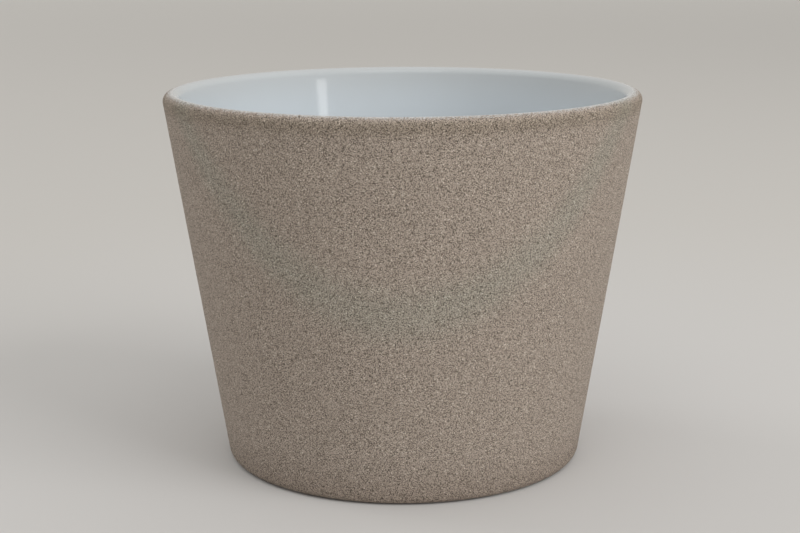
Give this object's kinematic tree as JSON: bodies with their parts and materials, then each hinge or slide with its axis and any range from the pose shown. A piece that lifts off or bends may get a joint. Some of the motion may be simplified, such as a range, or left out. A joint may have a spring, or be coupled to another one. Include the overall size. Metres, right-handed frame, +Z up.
{
  "type": "cachepot",
  "caption": "Tapered round ceramic cachepot with a full-round lip, glossy white glaze inside and a matt granular taupe coating outside, standing on a foot ring.",
  "frame": {"origin": "centre of the foot ring, on the table", "axes": "+Z up along the axis of the pot, which is round, so +X and +Y are any two directions square to it"},
  "size_m": [0.14, 0.14, 0.11],
  "materials": {
    "fired_clay": "matte",
    "white_glaze": "gloss",
    "granular_coat": "matte"
  },
  "bodies": {
    "root": {"ceramic_body": "fired_clay", "interior_glaze": "white_glaze", "stone_coating": "granular_coat"}
  },
  "joints": []
}
